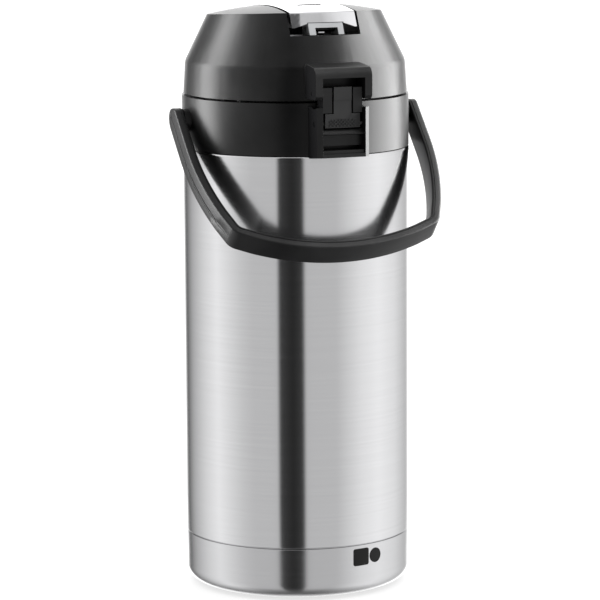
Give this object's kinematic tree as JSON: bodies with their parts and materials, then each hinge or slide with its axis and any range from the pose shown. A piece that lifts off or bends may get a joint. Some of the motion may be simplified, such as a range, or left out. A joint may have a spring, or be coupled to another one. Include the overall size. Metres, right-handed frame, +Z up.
{
  "type": "thermal coffee airpot",
  "caption": "Tall cylindrical vacuum flask with a lever pump lid, rear lid hinge, front pouring spout, swinging bail handle and swivelling base.",
  "frame": {"origin": "centre of the face the airpot rests on", "axes": "+Z up along the vessel's axis, -Y towards the spout, +Y towards the lid hinge, handle pivots on the line along X"},
  "size_m": [0.17, 0.219, 0.386],
  "materials": {
    "black_plastic": "moulded, fine satin texture",
    "collar_plastic": "moulded, smooth satin",
    "handle_plastic": "moulded, smooth satin",
    "inner_plastic": "moulded, matt",
    "light_plastic": "moulded, satin",
    "rubber": "matt",
    "bellows_rubber": "matt",
    "pale_seal": "translucent silicone, satin",
    "brushed_shell": "brushed around the body",
    "base_steel": "fine satin",
    "plain_steel": "drawn, semi-bright",
    "fastener_steel": "bright turned",
    "black_oxide": "blackened",
    "spring_steel": "drawn wire",
    "lever_chrome": "bright plated",
    "decal": "printed film, blank"
  },
  "bodies": {
    "swivel_base": {"swivel_plate": "black_plastic", "foot_pad": "rubber"},
    "vessel": {"outer_shell": "brushed_shell", "base_cup": "base_steel", "flask_bottom": "plain_steel", "vacuum_liner": "plain_steel", "vacuum_seal_cap": "plain_steel", "swivel_hub": "inner_plastic", "glide_ring": "pale_seal", "hub_washer": "fastener_steel", "hub_screw": "fastener_steel", "neck_gasket": "pale_seal", "collar": "collar_plastic", "neck_ring": "plain_steel", "collar_screws": "fastener_steel", "stem_cup": "inner_plastic", "dip_tube": "plain_steel", "stem_gasket": "pale_seal", "handle_pins": "fastener_steel", "release_pin": "fastener_steel", "release_spring": "spring_steel", "latch_pin": "fastener_steel", "latch_spring": "spring_steel", "blank_decals": "decal"},
    "handle": {"bail_handle": "handle_plastic"},
    "lid": {"lid_cover": "collar_plastic", "lid_plate": "inner_plastic", "lid_gasket": "pale_seal", "lid_screws": "fastener_steel", "lever_bracket": "light_plastic", "lever_pin": "black_oxide", "hinge_pin": "fastener_steel", "pump_base": "inner_plastic", "air_valve": "pale_seal", "bellows": "bellows_rubber", "pump_spring": "spring_steel", "spout_nose": "collar_plastic", "spout_tube": "pale_seal", "spout_nozzle": "black_plastic"},
    "lever": {"lever": "lever_chrome"},
    "lock": {"lock_slide": "lever_chrome"},
    "pump": {"pump_plate": "inner_plastic"},
    "release": {"release_lever": "black_plastic"},
    "latch": {"latch_lever": "black_plastic"}
  },
  "joints": [
    {"name": "vessel_swivel", "type": "hinge", "parent": "swivel_base", "child": "vessel", "pos_m": [0, 0, 0.0026], "axis": [0, 0, 1], "continuous": true},
    {"name": "handle_swing", "type": "hinge", "parent": "vessel", "child": "handle", "pos_m": [0, 0, 0.311], "axis": [1, 0, 0], "range_deg": [0, 168]},
    {"name": "lid_hinge", "type": "hinge", "parent": "vessel", "child": "lid", "pos_m": [0, 0.083, 0.333], "axis": [-1, 0, 0], "range_deg": [0, 90]},
    {"name": "lever_press", "type": "hinge", "parent": "lid", "child": "lever", "pos_m": [0, 0.052, 0.3716], "axis": [1, 0, 0], "range_deg": [0, 11]},
    {"name": "pump_stroke", "type": "slide", "parent": "lid", "child": "pump", "axis": [0, 0, -1], "range_m": [0, 0.0118], "deforming": ["bellows", "pump_spring"]},
    {"name": "lock_travel", "type": "slide", "parent": "lever", "child": "lock", "axis": [0, -0.9967, 0.0811], "range_m": [0, 0.005]},
    {"name": "release_swing", "type": "hinge", "parent": "vessel", "child": "release", "pos_m": [0, 0.0835, 0.3135], "axis": [-1, 0, 0], "range_deg": [0, 10.5]},
    {"name": "latch_swing", "type": "hinge", "parent": "vessel", "child": "latch", "pos_m": [0, -0.0795, 0.312], "axis": [1, 0, 0], "range_deg": [0, 9]}
  ],
  "couplings": [
    {"joint": "pump_stroke", "follows": "lever_press", "m_per_rad": 0.06}
  ]
}
